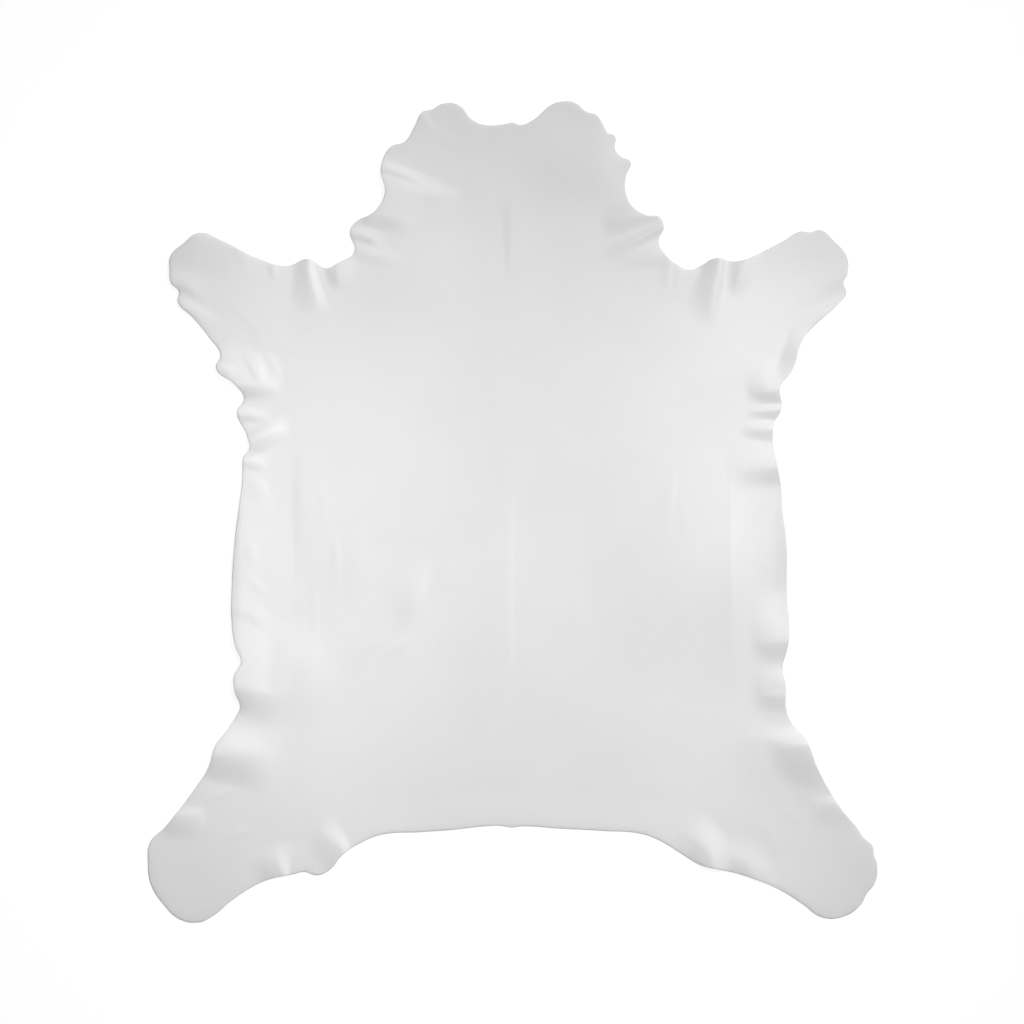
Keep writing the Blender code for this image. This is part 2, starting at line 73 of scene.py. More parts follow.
# %% Landmarks of the cut edge
# A smooth curve runs through the points of each stretch and on into the next.
Stretch = namedtuple("Stretch", "name points")
EDGE = (
    Stretch("neck, right lobe", (
        (0.0, 128.0), (3.0, 127.3), (7.0, 129.0), (13.5, 134.2), (17.0, 135.0), (20.5, 134.6),
        (24.5, 131.6), (27.8, 130.5), (30.0, 127.2), (31.6, 124.4), (33.6, 123.9),
    )),
    Stretch("right cheek and throat", (
        (33.9, 119.0), (36.0, 116.7), (38.9, 115.2), (37.4, 110.5), (37.4, 105.0), (39.9, 100.0),
        (44.0, 97.5), (48.6, 96.8), (49.8, 93.5), (48.2, 89.2), (50.2, 84.9),
    )),
    Stretch("right armpit", (
        (54.5, 81.2), (58.5, 79.6), (62.2, 81.0), (66.5, 83.2), (74.0, 82.3),
    )),
    Stretch("right fore shank", (
        (81.0, 84.9), (89.0, 89.0), (94.8, 92.2), (98.0, 91.9), (101.3, 92.7), (106.0, 89.0),
        (110.1, 83.8), (110.2, 78.3), (108.9, 75.5), (109.9, 71.9), (107.3, 68.4), (98.0, 59.8),
    )),
    Stretch("right elbow and flank", (
        (94.6, 54.8), (92.8, 48.5), (91.0, 45.0), (88.0, 41.0), (88.6, 34.5), (86.0, 28.5),
        (85.9, 21.5), (87.1, 15.0),
    )),
    Stretch("right belly", (
        (88.5, 8.0), (88.8, 1.5), (90.1, -10.0), (90.3, -26.0), (90.9, -41.0),
    )),
    Stretch("right hind flank", (
        (90.0, -46.5), (89.0, -50.5), (89.9, -57.5), (90.1, -64.5), (92.0, -69.5), (96.6, -75.0),
        (99.6, -82.5), (103.4, -90.0),
    )),
    Stretch("right hind shank, outer side", (
        (108.5, -98.0), (113.7, -104.2), (115.3, -106.8), (118.6, -110.0), (118.9, -112.6),
        (120.0, -116.0), (119.3, -122.0), (116.6, -125.6), (114.8, -129.0), (109.5, -132.9),
    )),
    Stretch("right hind shank, inner side", (
        (102.0, -133.4), (95.5, -129.0), (88.0, -124.3), (78.0, -120.1), (68.0, -117.5),
        (62.0, -116.1), (55.0, -112.0), (49.5, -108.6),
    )),
    Stretch("butt", (
        (43.0, -106.0), (30.0, -104.9), (15.0, -104.1), (3.0, -103.4), (0.0, -103.8),
        (-4.0, -103.2), (-12.0, -103.7), (-20.0, -104.6), (-30.0, -105.3), (-43.0, -106.2),
    )),
    Stretch("left hind shank, inner side", (
        (-50.0, -109.0), (-55.8, -112.8), (-59.5, -117.3), (-63.8, -119.5), (-68.5, -118.4),
        (-72.0, -119.2), (-78.0, -120.2), (-84.0, -122.6), (-92.0, -127.7), (-98.5, -133.0),
    )),
    Stretch("left hind shank, outer side", (
        (-103.0, -135.0), (-109.5, -133.9), (-114.5, -129.3), (-118.8, -122.5), (-119.8, -115.0),
        (-119.2, -109.0), (-114.0, -103.5), (-109.0, -97.4), (-104.0, -90.5),
    )),
    Stretch("left hind flank", (
        (-99.7, -83.8), (-97.2, -76.4), (-94.4, -72.7), (-90.7, -67.0), (-89.4, -64.3),
        (-91.0, -58.8), (-91.2, -53.8), (-89.0, -49.2), (-90.9, -44.0),
    )),
    Stretch("left belly", (
        (-92.0, -37.0), (-92.0, -24.0), (-91.0, -9.0), (-89.5, 3.0), (-88.7, 10.0), (-88.6, 14.5),
    )),
    Stretch("left flank and elbow", (
        (-88.2, 18.3), (-86.2, 21.0), (-87.0, 24.8), (-90.4, 33.0), (-88.2, 37.5), (-91.0, 41.8),
        (-97.2, 47.3), (-95.9, 51.5), (-99.5, 57.2),
    )),
    Stretch("left fore shank, lower side", (
        (-105.0, 64.0), (-109.8, 69.0), (-109.5, 72.5), (-112.0, 75.2),
    )),
    Stretch("left fore shank, upper side", (
        (-112.5, 79.5), (-112.2, 84.0), (-108.0, 88.1), (-102.8, 91.5), (-95.0, 88.9), (-84.0, 83.5),
    )),
    Stretch("left armpit", (
        (-74.0, 80.9), (-66.8, 83.1), (-61.0, 80.2), (-56.8, 82.1),
    )),
    Stretch("left throat and cheek", (
        (-51.9, 85.3), (-53.2, 92.6), (-51.2, 95.4), (-45.2, 98.6), (-41.8, 104.5), (-43.1, 113.0),
        (-40.0, 120.0), (-35.3, 121.8),
    )),
    Stretch("neck, left lobe", (
        (-32.0, 127.0), (-29.5, 131.5), (-26.2, 132.4), (-23.0, 134.2), (-17.8, 133.9),
        (-13.0, 128.9), (-9.3, 127.3), (-3.2, 127.4),
    )),
)
landmarks = [point for stretch in EDGE for point in stretch.points]
print(len(EDGE), "stretches with", len(landmarks), "landmarks")

# %% [markdown]
# The curve itself is Blender's own Bezier curve with automatic handles, because they make a line
# that is as smooth as a knife cut in leather. It is read as many short steps, fitted to the packed
# model's width and length, and then removed, since only its points are needed.

# %% The landmarks as one smooth curve
CM = 0.01
EDGE_STEPS = 40  # points between two landmarks of the edge's curve


def cut_edge():
    """The cut edge as closely spaced points: one smooth closed curve, scaled to the hide's size."""
    curve = bpy.data.curves.new("cut_edge", "CURVE")
    curve.dimensions = "2D"
    curve.fill_mode = "NONE"
    curve.resolution_u = EDGE_STEPS
    spline = curve.splines.new("BEZIER")
    spline.bezier_points.add(len(landmarks) - 1)
    spline.use_cyclic_u = True
    for knot, (x, y) in zip(spline.bezier_points, landmarks):
        knot.co = (x * CM, y * CM, 0)
        knot.handle_left_type = "AUTO"
        knot.handle_right_type = "AUTO"
    guide = bpy.data.objects.new("cut_edge", curve)
    bpy.context.collection.objects.link(guide)
    flat = bpy.data.meshes.new_from_object(guide.evaluated_get(bpy.context.evaluated_depsgraph_get()))
    points = np.array([corner.co[:2] for corner in flat.vertices])
    bpy.data.objects.remove(guide)
    bpy.data.curves.remove(curve)
    bpy.data.meshes.remove(flat)
    low, high = points.min(axis=0), points.max(axis=0)
    return (points - (low + high) / 2) * (HIDE_WIDTH, HIDE_LENGTH) / (high - low)


fine_edge = cut_edge()
print("cut edge:", len(fine_edge), "points")

# %% [markdown]
# ## The folds
# Leather from the throat, the armpits, the elbows and the flanks is stretched more than the back,
# so it doesn't lie flat: it stands up in soft folds at the edge, which run in and die out. Noise
# could lift the edge too, but real folds sit where a leg or the neck was, and no two are alike.
# So each is listed one by one, as its own crest line with two sides and a height, in centimetres.

# %% Folds that stand up from the edge
# Each has its full height at the edge and dies out inland. The line is the crest, from the edge
# inwards. Left and right are the widths of its two sides as seen walking that way:
# one number, or two where the side widens or narrows from the edge to the tip. Crease makes the
# side straighter, from 0, rounded at crest and foot, to 1, a tent.
Fold = namedtuple("Fold", "name line left right height crease", defaults=(0.0,))
EDGE_FOLDS = (
    Fold("left neck lobe", ((-31.5, 132.5), (-28, 127.5), (-24.6, 122.5)), 2.4, 3.2, 0.18),
    Fold("left cheek, crease", ((-43.5, 113.4), (-36, 111), (-28.5, 107.6)), 3, 1.7, 0.5, 0.5),
    Fold("left cheek", ((-44, 106.4), (-31, 104.9), (-14.5, 102.2)), (10.5, 2.2), (20, 7), 1.5, 0.6),
    Fold("left throat, upper", ((-45.5, 98.2), (-39, 96.6), (-31, 92.8)), 20, (5.2, 4.4), 1.05, 0.6),
    Fold("left throat, lower", ((-53.5, 91.6), (-48.5, 90.6), (-41.5, 87)), (2.8, 4.5), (2.9, 2), 0.7, 0.4),
    Fold("left throat, foot", ((-52.6, 86.4), (-46, 84.6), (-34, 81)), 4, 4, 0.5, 0.3),
    Fold("left armpit, inner", ((-57.8, 83), (-57.3, 77.5), (-56.2, 72)), 7, (5.6, 2.5), 1.1, 0.6),
    Fold("left armpit", ((-67, 84.5), (-66.3, 77), (-62.8, 62)), (1.2, 4.5), (4.2, 11), 1.5, 0.5),
    Fold("left armpit, outer", ((-79.2, 82), (-78.6, 79), (-77.8, 75.5)), 2.6, 2.2, 0.25),
    Fold("left fore shank, upper side", ((-89.3, 87), (-87.8, 83.5), (-86.2, 80)), 5.5, 4, 0.3),
    Fold("left fore shank, tip", ((-113.4, 76.2), (-108, 74.9), (-100, 70.2)), 5, (4.6, 3.5), 0.45, 0.4),
    Fold("left fore shank, lower side", ((-110.6, 69), (-104, 65), (-95.5, 60.5)), 4.4, 6, 0.5),
    Fold("left elbow, point", ((-98.2, 47.4), (-93, 46.4), (-88.5, 45.2)), 2.2, 3, 0.35, 0.3),
    Fold("left elbow", ((-92.6, 41.8), (-85.5, 41.6), (-75, 41)), (14, 10), (5.4, 5), 1.8, 0.3),
    Fold("left flank, upper", ((-91, 32.4), (-86, 31.8), (-78.5, 30.8)), 3, 2.6, 0.55, 0.4),
    Fold("left flank, middle", ((-88.5, 22.2), (-82, 25), (-73, 29)), (3.4, 5), (5, 4.5), 2, 0.6),
    Fold("left flank, lower", ((-90, 17), (-86, 16.2), (-79.5, 14.6)), 3.6, 2.6, 0.52, 0.5),
    Fold("left belly", ((-92.8, -30.8), (-86, -33), (-78.5, -38.6)), 9, 3.8, 0.36, 0.3),
    Fold(
        "left hind flank, upper", ((-92.2, -57.2), (-85, -58.2), (-73, -60.8)),
        (30, 20), (9.6, 10.4), 2.6, 0.5,
    ),
    Fold(
        "left hind flank, lower", ((-100.4, -79.4), (-91, -79.6), (-74, -80.4)),
        (11, 8), (8.6, 14), 1.9, 0.5,
    ),
    Fold("left hind shank, outer side", ((-110.4, -100.6), (-105.5, -100.2), (-100, -100)), 4.2, 8, 0.7),
    Fold("butt, left dimple", ((-74.6, -120.5), (-76.4, -116), (-79.2, -109)), 9, (1.4, 8), 1, 0.5),
    Fold(
        "butt, left corner", ((-54, -113.8), (-57.2, -109.6), (-61.5, -106.2), (-67, -103.4)),
        9, (2.2, 8), 0.9, 0.5,
    ),
    Fold(
        "butt, right corner", ((66.4, -119), (65, -112.5), (61.4, -108.2), (53, -105.6)),
        7.8, (5, 11), 1.5, 0.5,
    ),
    Fold(
        "butt, right hem", ((80.5, -122.5), (78.2, -117.6), (73.8, -114.2), (66.5, -113.2)),
        5, 7.5, 0.65, 0.4,
    ),
    Fold("right hind shank, outer side", ((108, -96.4), (103, -96.4), (96.5, -96.8)), 9, 3.8, 0.5),
    Fold("right hind flank, lower", ((99.4, -76.6), (92, -76.6), (83.5, -76.8)), (15, 11), 5.2, 1.9, 0.5),
    Fold("right hind flank, foot", ((97, -76), (86, -75.6), (72, -74.4)), 20, (6, 8), 1.1, 0.3),
    Fold("right hind flank, middle", ((92, -60), (86, -60.1), (78.5, -60.6)), (6.8, 5), 13, 1.4, 0.6),
    Fold("right hind flank, crease", ((91.2, -55), (88, -55.6), (84.5, -56.8)), 3.2, 3.6, 0.3),
    Fold("right hind flank, upper", ((92.4, -42.2), (86, -42.4), (77.5, -43.4)), (9.6, 7), 16, 2.4, 0.6),
    Fold("right flank, lower", ((88.6, 14.8), (81, 14.8), (69.5, 14)), (6.4, 8), 12, 2.2, 0.6),
    Fold("right flank, middle", ((87.2, 27.2), (82, 27), (74.5, 26.5)), (5, 2.4), 3.2, 1.6, 0.5),
    Fold("right flank, upper", ((89.8, 33.8), (84, 33.5), (76.5, 32.4)), (4.4, 2), 1.8, 1.4, 0.5),
    Fold("right elbow", ((89.4, 40.4), (84, 40.1), (76.5, 38.9)), (6.8, 2.6), 10, 2.2, 0.6),
    Fold("right fore shank, lower side", ((114, 68.5), (104, 64.4), (92.5, 60)), 4, 5.4, 1.5, 0.4),
    Fold("right fore shank, tip", ((111.2, 79.2), (104, 75), (92, 67.8)), 4.6, 2.4, 0.75, 0.3),
    Fold("right armpit, outer", ((76.8, 84.5), (74.9, 78.5), (72, 71)), 5.5, (5.8, 3), 2, 0.5),
    Fold("right armpit", ((68.4, 84.5), (67.4, 77), (64.2, 61)), (2.2, 3.6), (5.6, 9.4), 2.8, 0.5),
    Fold("right armpit, middle", ((54.8, 81.5), (54.4, 77), (53.8, 72.5)), 2, 2.4, 0.15),
    Fold("right armpit, inner", ((51.8, 83.5), (51.3, 78), (50.6, 72.5)), 1.8, 4, 0.3),
    Fold("right throat, foot", ((50.8, 84), (43, 83.8), (33, 81.8)), 4.5, 5.2, 0.6, 0.3),
    Fold(
        "right throat, lower", ((50.4, 94.4), (44, 91.2), (37, 87.6), (29, 83.2)),
        (1.8, 4.5), (3, 4.2), 1.3, 0.4,
    ),
    Fold("right throat, upper", ((47, 98.4), (39, 96.4), (28.5, 93)), (4, 5.6), (12, 5), 1.6, 0.6),
)
print(len(EDGE_FOLDS), "folds, the highest", max(fold.height for fold in EDGE_FOLDS), "cm")

# %% [markdown]
# ## The swells
# The cheeks, the shoulder and the bellies don't quite lie down either. They rise and sink again in
# long, low slopes, and those slopes make the pale and the grey areas of the hide. They are the same
# kind of row as a fold, most of them wider, and they die out at both ends.

# %% Long, low swells
SWELLS = (
    Fold("right cheek", ((25.5, 131), (26.5, 114), (29, 96)), 13, 28, 1.5),
    Fold("neck crease", ((-0.3, 112), (-0.5, 95), (-0.7, 70)), 14, (3.6, 1.6), 0.3, 0.5),
    Fold("left shoulder", ((-33, 108), (-33, 84), (-32, 58)), 22, 30, 1.1),
    Fold("left elbow, streak", ((-89, 54.5), (-84.8, 47.5), (-81, 40)), 3, 2.6, 0.3),
    Fold("left fore shank, lifted edge", ((-128, 92), (-100, 90), (-66, 84)), 5, 32, 2.4, 0.3),
    Fold("left belly, slope", ((-89.5, 34), (-89.5, -12), (-89.5, -60)), 17.5, 22, 1.7, 1),
    Fold("left belly, outer", ((-68.3, 25), (-68.8, 3), (-68.5, -18)), 8, 4.5, 0.38, 0.5),
    Fold("left loin", ((-27.5, -14), (-31.8, -27.5), (-38, -41)), 3.6, 11, 0.9, 0.4),
    Fold("left hind flank, pocket", ((-74, -40), (-74, -55), (-75.5, -71)), 20, 7, 0.7),
    Fold("right belly, crease", ((71.3, 35), (71.4, -15), (73, -66)), 15.5, 46, 4.3, 0.8),
    Fold("right belly, lifted edge", ((92.4, 11), (92.5, -9), (92.2, -28)), 5, (3, 17), 2.1, 0.5),
    Fold("right elbow, lifted edge", ((100, 62), (96, 50.5), (91.8, 39)), 3, 7.4, 4.3, 1),
)
print(len(SWELLS), "swells, the widest side", max(np.max(swell.right) for swell in SWELLS), "cm")

# %% [markdown]
# ## The streaks
# Loose belly leather keeps fine streaks where it was stretched to dry, and the backbone leaves a
# faint ridge. They could be a bump in the material, but a ridge of a millimetre or more also shows
# from the side, so they are rows of the same kind again, most of them lower and narrower.

# %% Fine streaks
STREAKS = (
    Fold("backbone", ((-1.5, 34), (-1.4, 0), (-1.6, -34), (-1.2, -70)), 2.6, 17, 0.27),
    Fold("left neck lobe", ((-26, 125.5), (-21, 122.3), (-16, 119.6)), 2.4, 2.8, 0.12),
    Fold("left fore shank, upper", ((-104, 80), (-92, 69), (-80, 55)), 3, 3, 0.03),
    Fold("left fore shank, middle", ((-98, 75), (-88, 63.5), (-79, 50.5)), 2.2, 2.6, 0.03),
    Fold("left fore shank, lower", ((-93, 71), (-84, 60), (-76.5, 49)), 2.2, 2.4, 0.03),
    Fold("left elbow, first", ((-86, 53.5), (-83.5, 49.5), (-81.5, 44)), 1.8, 1.8, 0.12),
    Fold("left elbow, second", ((-81, 53.5), (-78.8, 48.5), (-77, 43)), 2.6, 2.4, 0.18),
    Fold("left belly, edge, upper", ((-88.5, 12), (-83, 8), (-79.5, 0)), 3.2, 4, 0.2),
    Fold("left belly, edge, middle", ((-90, -6), (-86, -12), (-84, -20)), 3, 3.6, 0.18),
    Fold("left belly, edge, lower", ((-89, -22), (-84, -24), (-79, -29)), 2.6, 3, 0.14),
    Fold("left belly, first", ((-64.5, 16), (-61.3, 2), (-62.2, -13)), 4, 3.4, 0.15),
    Fold("left belly, second", ((-58.4, -4), (-57.6, -16), (-58, -28)), 1.8, 2.8, 0.16),
    Fold("left belly, third", ((-51.8, 0), (-50.4, -13), (-54.5, -30)), 5.5, 6, 0.3, 0.8),
    Fold("left belly, long", ((-65.6, -14), (-64.9, -34), (-65, -57)), 1.8, 3, 0.09),
    Fold("left belly, low swell", ((-71.5, -32), (-71.5, -47), (-73, -61)), 12, 9, 0.8),
    Fold("left loin, upper", ((-18.6, -11), (-20.6, -19), (-24.5, -28)), 3.6, 4, 0.3),
    Fold("left loin, crease", ((-28, -37.5), (-36.5, -44), (-46, -48.5)), 2.2, 3.5, 0.26),
    Fold("left loin, lower", ((-37, -32), (-46, -43), (-57.5, -52.5)), 4, 5, 0.4),
    Fold("left rump", ((-12, -31), (-16, -39), (-22, -48)), 5, 4, 0.1),
    Fold("right belly, edge", ((71.6, 16), (71.6, -10), (72.6, -38)), 1.6, 1.4, 0.1),
    Fold("right belly, first", ((52.6, 22), (52.6, 9), (51, -2), (52, -15)), 1.8, 5, 0.2),
    Fold("right belly, second", ((57.2, 6), (56.8, -3), (57.4, -12)), 1.6, 2.5, 0.09),
    Fold("right belly, third", ((60.6, -2), (60.6, -12), (61.8, -24)), 1.6, 2.5, 0.08),
    Fold("right rump", ((12, -37), (24, -38.6), (36, -42), (47, -47)), 4, 2.2, 0.06),
    Fold("right fore shank, upper", ((101, 87.5), (92, 80), (84, 73.5)), 2, 2, 0.1),
    Fold("left hind shank, upper", ((-105, -97), (-96.5, -93), (-88, -90)), 2.2, 2.2, 0.12),
    Fold("left hind shank, lower", ((-100, -110.5), (-90, -105.5), (-81, -104)), 2.4, 2.2, 0.12),
    Fold("right hind shank, upper", ((84, -89), (92, -100), (100, -112)), 3, 3, 0.05),
    Fold("right hind shank, lower", ((76, -95), (84, -106), (92, -118)), 3, 3, 0.05),
)
print(len(STREAKS), "streaks, the lowest", min(streak.height for streak in STREAKS), "cm")

# %% [markdown]
# ## From lines to a lifted sheet
# A fold is a ridge along a line. A curve object with a bevel would make a tube, not a lifted sheet,
# so the sheet's own points are raised instead. First the crest line is made smooth through its
# points, so that no fold has a corner in it.

# %% A smooth line through a fold's points
LINE_STEPS = 5  # points between two points of a fold's line


def smooth_line(line):
    """A fold's line as a smooth curve through its points, in metres."""
    knots = np.array(line) * CM
    ends = np.concatenate((2 * knots[:1] - knots[1:2], knots, 2 * knots[-1:] - knots[-2:-1]))
    share = np.arange(LINE_STEPS)[:, None] / LINE_STEPS
    pieces = []
    for before, start, end, after in zip(ends, ends[1:], ends[2:], ends[3:]):
        slope_in = (end - before) / 2
        slope_out = (after - start) / 2
        bend = 2 * (start - end) + slope_in + slope_out
        sweep = 3 * (end - start) - 2 * slope_in - slope_out
        pieces.append(start + share * (slope_in + share * (sweep + share * bend)))
    return np.concatenate(pieces + [knots[-1:]])


print("line of the", EDGE_FOLDS[0].name, "has", len(smooth_line(EDGE_FOLDS[0].line)), "points")

# %% [markdown]
# Then each point of the sheet is measured against that line: how far along it lies, how far off,
# and on which side. The two sides of a real fold differ, one steep and one slack, so each side has
# its own width, which may also change along the line.

# %% Where a point lies by the line
def along_and_off(points, fold):
    """Where each point lies by a fold's line: share of the way along, distance off, width of that side."""
    line = smooth_line(fold.line)
    steps = np.diff(line, axis=0)
    lengths = np.hypot(steps[:, 0], steps[:, 1])
    begun = np.cumsum(lengths) - lengths
    off = np.full(len(points), np.inf)
    along = np.zeros(len(points))
    on_left = np.zeros(len(points), dtype=bool)
    for start, step, length, before in zip(line, steps, lengths, begun):
        reach = points - start
        share = np.clip(reach @ step / length**2, 0, 1)
        aside = reach - share[:, None] * step
        distance = np.hypot(aside[:, 0], aside[:, 1])
        nearer = distance < off
        off[nearer] = distance[nearer]
        along[nearer] = (before + share[nearer] * length) / lengths.sum()
        on_left[nearer] = (step[0] * reach[:, 1] - step[1] * reach[:, 0])[nearer] > 0
    left, right = (np.interp(along, (0, 1), np.broadcast_to(side, 2)) for side in (fold.left, fold.right))
    return along, off, np.where(on_left, left, right) * CM


crest_start = np.array(EDGE_FOLDS[0].line[:1]) * CM
print("at its own start:", [round(float(value[0]), 4) for value in along_and_off(crest_start, EDGE_FOLDS[0])])

# %% [markdown]
# Soft leather has a rounded section, and leather that was creased keeps straighter sides with a
# sharper crest. A cosine gives the first and a straight line the second, and a share between them
# gives all that lies between.

# %% The section of a ridge
def ridge(off, width, crease):
    """A ridge's section: 1 on the crest, 0 from its foot outwards, with rounded or straight sides."""
    share = np.clip(off / width, 0, 1)
    return (1 - crease) * np.cos(np.pi / 2 * share) ** 2 + crease * (1 - share)


print("half way down: soft", round(float(ridge(0.5, 1, 0)), 2), "creased", round(float(ridge(0.5, 1, 1)), 2))

# %% [markdown]
# A fold that starts at the cut edge is highest there and keeps its height for a while before it
# dies out inland. A swell or a streak rises and sinks again. All heights are simply added up, as
# folds of real leather run into one another without a seam.

# %% Heights of folds, swells and streaks
HOLD = 2.0  # how long a fold keeps its height before it dies out at its end


def fold_heights(points):
    """How far the folds and swells lift the sheet at each point."""
    heights = np.zeros(len(points))
    for fold in EDGE_FOLDS:
        along, off, width = along_and_off(points, fold)
        heights += fold.height * CM * ridge(off, width, fold.crease) * np.cos(np.pi / 2 * along**HOLD) ** 2
    for swell in SWELLS + STREAKS:
        along, off, width = along_and_off(points, swell)
        heights += swell.height * CM * ridge(off, width, swell.crease) * np.sin(np.pi * along) ** 2
    return heights


print("height in the middle of the back:", round(float(fold_heights(np.zeros((1, 2)))[0]), 4), "m")

# %% [markdown]
# ## The curled rim
# The outermost strip of the leather curls down a little, as a cut edge does. It could be a bevel,
# but a bevel is far too small and too even. Here the sheet arches up just inside the edge and comes
# down towards it, by its distance from the edge. A search tree finds that distance for every point.

# %% Heights beside the cut edge
RIM_CURL = 0.012  # across the outermost strip, which curls down towards the cut edge
RIM_ARCH = 0.0025  # height of the sheet just inside that strip
RIM_LIP = 0.5  # the cut edge stays off the surface by this share of the arch's height
RIM_FALL = 0.11  # inside the arch, the sheet settles onto the surface over this distance


def rim_heights(inset):
    """How far the sheet stands up beside its cut edge, by the distance in from the edge."""
    curl = RIM_LIP + (1 - RIM_LIP) * np.sin(np.pi / 2 * np.clip(inset / RIM_CURL, 0, 1))
    settling = np.clip((inset - RIM_CURL) / RIM_FALL, 0, 1)
    return RIM_ARCH * curl * np.cos(np.pi / 2 * settling) ** 2


def inset_of(points, edge_tree):
    """How far in from the cut edge each point lies."""
    return np.array([edge_tree.find((x, y, 0))[2] for x, y in points])


def tree_of(points):
    """A search tree that finds the nearest of many points."""
    tree = KDTree(len(points))
    for index, (x, y) in enumerate(points):
        tree.insert((x, y, 0), index)
    tree.balance()
    return tree


edge_tree = tree_of(fine_edge)
print("rim: lip", rim_heights(np.zeros(1))[0], "m, arch", rim_heights(np.array([RIM_CURL]))[0], "m")

# %% [markdown]
# ## The sheet
# A plane with many subdivisions would spend most of its faces on the flat back. So the points lie on
# a triangular lattice that is closest on the narrow folds and opens out, by halves, over the back.
# This cell says how close the points must lie at each place.

# %% How close the points lie
FOLD_STEPS = 4.0  # points from a fold's crest to its foot
STREAK_STEPS = 3.2  # points from a streak's crest to its foot
CALM_STEP = 0.036  # widest spacing over the flat back
NEAR_EDGE_STEP = 0.012  # spacing beside the cut edge
GRADING = 0.27  # how fast the spacing opens out away from a fold


def spacing(points, inset):
    """How far apart the sheet's points may be: close on the folds and the rim, wide on the back."""
    wanted = np.minimum(CALM_STEP, NEAR_EDGE_STEP + GRADING * inset)
    for ridges, steps in ((EDGE_FOLDS + SWELLS, FOLD_STEPS), (STREAKS, STREAK_STEPS)):
        for fold in ridges:
            _, off, width = along_and_off(points, fold)
            wanted = np.minimum(wanted, width / steps + GRADING * np.maximum(0, off - width))
    return wanted


print("spacing on the back:", spacing(np.zeros((1, 2)), np.array([1.0]))[0], "m")

# %% [markdown]
# The smooth curve has more points than the sheet needs, and they lie closer in tight bends. So the
# sheet's own edge takes points from it that are evenly spaced along the cut.

# %% Even points on the cut edge
EDGE_STEP = 0.007  # spacing of the points on the cut edge


def evenly_spaced(loop, step):
    """Points of a closed loop that lie about one step apart."""
    lengths = np.hypot(*(np.roll(loop, -1, axis=0) - loop).T)
    reached = np.cumsum(lengths)
    count = round(reached[-1] / step)
    return loop[np.searchsorted(reached, np.arange(count) * reached[-1] / count)]


edge = evenly_spaced(fine_edge, EDGE_STEP)
print("sheet's edge:", len(edge), "points")

# %% [markdown]
# The curl is narrow, so a lattice alone would make it ragged. Three rows of points follow the edge
# instead, and they keep it round. In a tight notch of the edge a row can cross to the outside, so
# each point is tested by counting how often the edge is crossed on the way out.

# %% Rows of points beside the edge
RIM_ROWS = (0.25, 0.5, 1.0)  # rows beside the edge, as shares of the curl


def inside(points, loop):
    """Which points lie inside a closed loop, by counting the sides that a line to the right crosses."""
    following = np.roll(loop, -1, axis=0)
    crossings = np.zeros(len(points), dtype=int)
    for (ax, ay), (bx, by) in zip(loop, following):
        spans = (points[:, 1] < ay) != (points[:, 1] < by)
        if ay != by:
            crossings += spans & (points[:, 0] < ax + (points[:, 1] - ay) / (by - ay) * (bx - ax))
    return crossings % 2 == 1


def rows_beside(edge):
    """Rows of points just inside the edge, across its curl."""
    ahead = np.roll(edge, -1, axis=0) - np.roll(edge, 1, axis=0)
    inward = np.stack((ahead[:, 1], -ahead[:, 0]), axis=1) / np.hypot(ahead[:, 0], ahead[:, 1])[:, None]
    rows = np.concatenate([edge + share * RIM_CURL * inward for share in RIM_ROWS])
    return rows[inside(rows, edge)]


rim_rows = rows_beside(edge)
print("beside the edge:", len(rim_rows), "points")

# %% [markdown]
# The lattice is laid out in its finest step, and each point stays only if its row and place can be
# divided by the spacing that is wanted there. Because every coarser lattice is part of the finer
# one, the triangles stay even where the spacing changes.

# %% The lattice
FINEST = 0.0058  # spacing of the lattice on the narrowest folds
COARSEST = 3  # how often the spacing may double
CLEAR_OF_ROWS = 0.4  # the lattice starts this share of a step inside the last row


def lattice(edge, edge_tree):
    """Points of the graded lattice, clear of the rows beside the edge."""
    rise = FINEST * math.sqrt(3) / 2
    high = int(HIDE_LENGTH / 2 / rise)
    wide = int(HIDE_WIDTH / FINEST)
    row, place = np.mgrid[-high:high + 1, -wide:wide + 1].reshape(2, -1)
    points = np.stack(((place + row / 2) * FINEST, row * rise), axis=1)
    near = np.abs(points[:, 0]) < HIDE_WIDTH / 2
    row, place, points = row[near], place[near], points[near]
    kept = inside(points, edge)
    row, place, points = row[kept], place[kept], points[kept]
    inset = inset_of(points, edge_tree)
    wanted = spacing(points, inset)
    doubled = 2 ** np.clip(np.floor(np.log2(np.maximum(wanted / FINEST, 1))), 0, COARSEST).astype(int)
    kept = (row % doubled == 0) & (place % doubled == 0) & (inset > RIM_CURL + CLEAR_OF_ROWS * FINEST)
    return points[kept]


inner = lattice(edge, edge_tree)
print("lattice:", len(inner), "points")

# %% [markdown]
# Blender's Delaunay triangulation joins the points and keeps to the cut edge, which gives well
# shaped triangles without any work by hand. The heights are then read at each point, so the sheet
# lies on the surface and rises over its folds.

# %% Joining the points into one sheet
SAME_POINT = 1e-6  # points closer than this are one point
INSIDE_ONLY = 1  # the triangulation's mode that keeps what lies inside the edge


def hide_mesh():
    """The underside of the sheet, lying on the surface and up over its folds."""
    points = np.concatenate((edge, rim_rows, inner))
    corners, _, faces, _, _, _ = delaunay_2d_cdt(
        [Vector(point) for point in points], [], [list(range(len(edge)))], INSIDE_ONLY, SAME_POINT
    )
    flat = np.array([corner[:] for corner in corners])
    inset = inset_of(flat, edge_tree)
    inset[: len(edge)] = 0
    heights = fold_heights(flat) + rim_heights(inset)
    mesh = bpy.data.meshes.new("leather_hide")
    mesh.from_pydata([(x, y, z) for (x, y), z in zip(flat, heights)], [], faces)
    mesh.shade_smooth()
    return mesh


hide = bpy.data.objects.new("leather_hide", hide_mesh())
bpy.context.scene.collection.objects.link(hide)
print("sheet:", len(hide.data.polygons), "triangles before it has its thickness")

